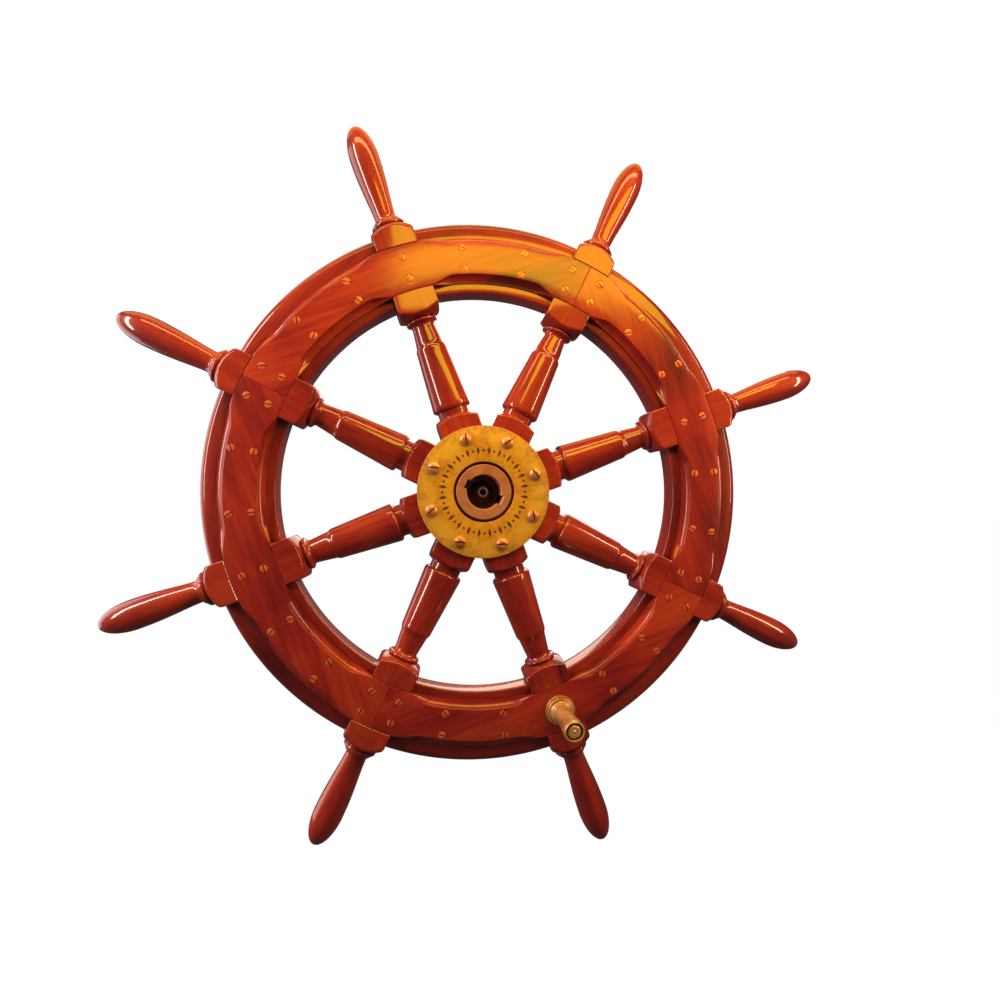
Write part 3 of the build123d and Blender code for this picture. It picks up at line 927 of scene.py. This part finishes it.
def make_hub_bolts():
    bolts = []
    slots = []
    foot = (HUB_HEAD_R, HUB_FACE + 1.2)
    outline = [(HUB_SHANK_R, -HUB_FACE - 10), (HUB_SHANK_R, HUB_FACE)]
    outline += [(HUB_HEAD_R, HUB_FACE + 0.05), foot]
    outline += arc_points(foot, (5.6, HUB_FACE + 4.3), (0.4, HUB_FACE + 5.4), 9)
    for number, slot_angle in enumerate(HUB_SLOT_ANGLES, start=1):
        a = math.radians(spoke_angle(number))
        x, y = HUB_BOLT_PCR * math.cos(a), HUB_BOLT_PCR * math.sin(a)
        bolts.append(solid_spun(outline, 40, x, y))
        turn = slot_angle - FIRST_SPOKE_ANGLE
        slots.append(slot_rings(x, y, turn, 2.0, 10, HUB_FACE + 2.6, HUB_FACE + 8))
    thing = placed("slotted_hub_bolts", joined(bolts), "bolt_bronze")
    cut(thing, slots)
    stand_in(thing, "bolt_bronze", "wheel", "hub_bolts")


# ---- turning handle ----


def crank_piece(name, outline, body, node, closed=True):
    """A turned brass piece on the turning handle's axis, a ring or, not closed, solid."""
    a = math.radians(spoke_angle(CRANK_SPOKE))
    x, y = CRANK_RADIUS * math.cos(a), CRANK_RADIUS * math.sin(a)
    rings = spun(outline, 72) if closed else solid_spun(outline, 72)
    thing = piece(name, rings, "crank_brass", closed=closed, at=(x, y, 0), sharp=38.0)
    stand_in(thing, "crank_brass", body, node)


def make_crank_base():
    step, top = CRANK_STEP_Z, CRANK_BASE_TOP
    base = [(CRANK_BOLT_R, HALF), (18.7, HALF)]
    base += arc_points((18.7, HALF), (19.5, HALF + 2.6), (18.5, step), 8)
    base += [(17, step + 0.01)]
    base += arc_points((17, step + 0.01), (17.2, top - 1.2), (15.6, top), 6)
    base += [(CRANK_BOLT_R, top)]
    crank_piece("stepped_crank_base", base, "wheel", "crank_base")


def make_crank_grip(recess):
    low, waist, end = CRANK_BASE_TOP + 0.3, GRIP_WAIST_R, GRIP_END_R
    bore = CRANK_BOLT_R + 0.05
    grip = [(bore, low), (14.2, low)]
    grip += arc_points((14.2, low), (15, low + 1.8), (14, low + 3.6), 8)
    grip += bezier_points((14, low + 3.6), (waist, low + 8), (waist, low + 16), (waist, low + 20), 14)
    swell = ((waist, low + 20), (waist, low + 34), (end, low + 40), (end, CRANK_TIP_Z - 4))
    grip += bezier_points(*swell, 18)
    grip += arc_points(swell[-1], (12.55, CRANK_TIP_Z - 1.2), (11.8, CRANK_TIP_Z), 6)
    grip += [(10.5, CRANK_TIP_Z), (10.3, CRANK_TIP_Z - 0.3), (10.3, recess), (bore, recess)]
    crank_piece("waisted_crank_grip", grip, "crank_grip", "crank_grip")


def make_crank_bolt(recess):
    seat, side, rim = recess + 0.3, 8.2, CRANK_TIP_Z - 2.8
    bolt = [(0.5, -HALF - 13), (CRANK_BOLT_R, -HALF - 13), (CRANK_BOLT_R, seat)]
    bolt += [(side, seat + 0.01), (side, rim)]
    bolt += arc_points((side, rim), (6.6, CRANK_TIP_Z - 1), (4.4, CRANK_TIP_Z - 0.5), 6)
    bolt += [(3.6, CRANK_TIP_Z - 0.9), (2.2, CRANK_TIP_Z - 0.9)]
    bolt += [(1.7, CRANK_TIP_Z - 0.4), (0.3, CRANK_TIP_Z - 0.4)]
    crank_piece("domed_crank_bolt", bolt, "wheel", "crank_bolt", closed=False)


def make_crank():
    recess = CRANK_TIP_Z - 6.5
    make_crank_base()
    make_crank_grip(recess)
    make_crank_bolt(recess)


# ---- spindle ----


def make_spindle():
    """Heel, journal and a thin end, with a hole drilled in its tip."""
    rear, foot, shoulder, tip = -48, -42, -3, 21
    hole_floor = tip - SPINDLE_HOLE_DEPTH
    outline = [(0.5, rear), (SPINDLE_HEEL_R, rear), (SPINDLE_HEEL_R, foot)]
    outline += [(SPINDLE_R, foot), (SPINDLE_R, shoulder), (SPINDLE_END_R, shoulder)]
    outline += [(SPINDLE_END_R, tip - 0.8), (6.2, tip), (4.9, tip), (SPINDLE_HOLE_R, tip - 0.7)]
    outline += [(SPINDLE_HOLE_R, hole_floor), (0.4, hole_floor - 1.5)]
    spindle = piece("drilled_spindle", solid_spun(outline, 64), "spindle_steel")
    stand_in(spindle, "spindle_steel", "spindle", "spindle")


def finish_carried_nodes():
    """The pieces whose shape stays as drawn get their finish."""
    slots = {entry["node"]: entry["material_slot"] for entry in frame["record"]["subparts"]}
    for name, thing in frame["nodes"].items():
        thing.data.materials.clear()
        thing.data.materials.append(FINISHES[slots[name]])


finish_carried_nodes()
make_spokes()
make_felloes()
make_facings()
make_hub_plates()
make_boss()
make_hub_bolts()
make_crank()
make_spindle()


# ---- studio ----


def studio_floor():
    """A pale floor that only the camera sees, so that it casts nothing back on the varnish."""
    far = 30.0
    corners = [(-far, -far, 0), (far, -far, 0), (far, far, 0), (-far, far, 0)]
    mesh = bpy.data.meshes.new("floor")
    mesh.from_pydata(corners, [], [(0, 1, 2, 3)])
    floor = bpy.data.objects.new("floor", mesh)
    bpy.context.scene.collection.objects.link(floor)
    floor.location.z = CAD_BOX[0][2] - 0.3
    floor.visible_diffuse = False
    floor.visible_glossy = False
    paint = Finish("pale_floor")
    paint.surface(
        Base_Color=(0.03, 0.03, 0.03),
        Roughness=0.9,
        Specular_IOR_Level=0.0,
        Emission_Color=(1.0, 1.0, 1.0),
        Emission_Strength=1.0,
    )
    floor.data.materials.append(paint.material)


def soft_light(name, place, aim, size, power, colour):
    """A flat lamp at a place, turned to what it lights. Size is width and height in metres."""
    lamp = bpy.data.lights.new(name, "AREA")
    lamp.shape = "RECTANGLE"
    lamp.size, lamp.size_y = size
    lamp.energy = power
    lamp.color = colour
    thing = bpy.data.objects.new(name, lamp)
    bpy.context.scene.collection.objects.link(thing)
    thing.location = place
    thing.rotation_euler = (Vector(aim) - Vector(place)).to_track_quat("-Z", "Y").to_euler()
    thing.visible_camera = False


LIGHTS = (
    ("golden_front", (0.21, -0.52, 0.49), (0.1, 0.0, 0.2), (0.7, 0.19), 3.1, (1.0, 0.68, 0.03)),
    ("overhead", (0.05, -0.4, 0.85), (0.05, 0.0, 0.0), (1.3, 0.12), 4.8, (1.0, 0.64, 0.24)),
    ("ceiling", (0.0, 0.25, 1.2), (0.0, 0.0, 0.0), (2.2, 0.8), 7.0, (1.0, 0.58, 0.16)),
    ("window_left", (-1.1, -0.5, 0.45), (-0.2, 0.0, 0.1), (0.16, 1.0), 10.5, (1.0, 0.84, 0.8)),
    ("pale_wall_left", (-1.5, 0.35, 0.15), (0.0, 0.0, 0.0), (1.0, 1.7), 11.0, (1.0, 0.84, 0.88)),
    ("lamp_right", (1.1, -0.6, 0.35), (0.2, 0.0, 0.1), (0.1, 0.8), 6.5, (1.0, 0.72, 0.45)),
    ("behind", (0.5, 1.6, 0.9), (0.0, 0.0, 0.0), (1.6, 1.2), 16.0, (1.0, 0.86, 0.7)),
)


def studio_lights():
    for light in LIGHTS:
        soft_light(*light)


def studio_surroundings():
    """White to the camera, and to the varnish a dim even room."""
    world = bpy.data.worlds.new("studio")
    bpy.context.scene.world = world
    sky = Nodes(world)
    seen = sky.node("ShaderNodeBackground", {}, Color=(1.0, 1.0, 1.0, 1.0), Strength=1.0)
    fill = sky.node("ShaderNodeBackground", {}, Color=(1.0, 0.85, 0.95, 1.0), Strength=0.07)
    camera_ray = sky.node("ShaderNodeLightPath", {})["Is Camera Ray"]
    both = sky.node("ShaderNodeMixShader", {}, camera_ray, fill[0], seen[0])
    output = sky.node("ShaderNodeOutputWorld", {})
    sky.link(both[0], output.node.inputs["Surface"])
    bpy.context.scene.view_settings.view_transform = "Standard"


def studio_camera():
    lens = bpy.data.cameras.new("camera")
    lens.lens = 21.85
    camera = bpy.data.objects.new("camera", lens)
    bpy.context.scene.collection.objects.link(camera)
    camera.location = WHEEL_CENTRE + Vector((-0.0818, -0.8027, -0.011))
    camera.rotation_euler = (math.radians(90.05), 0.0, math.radians(-7.57))
    bpy.context.scene.camera = camera


studio_floor()
studio_lights()
studio_surroundings()
studio_camera()
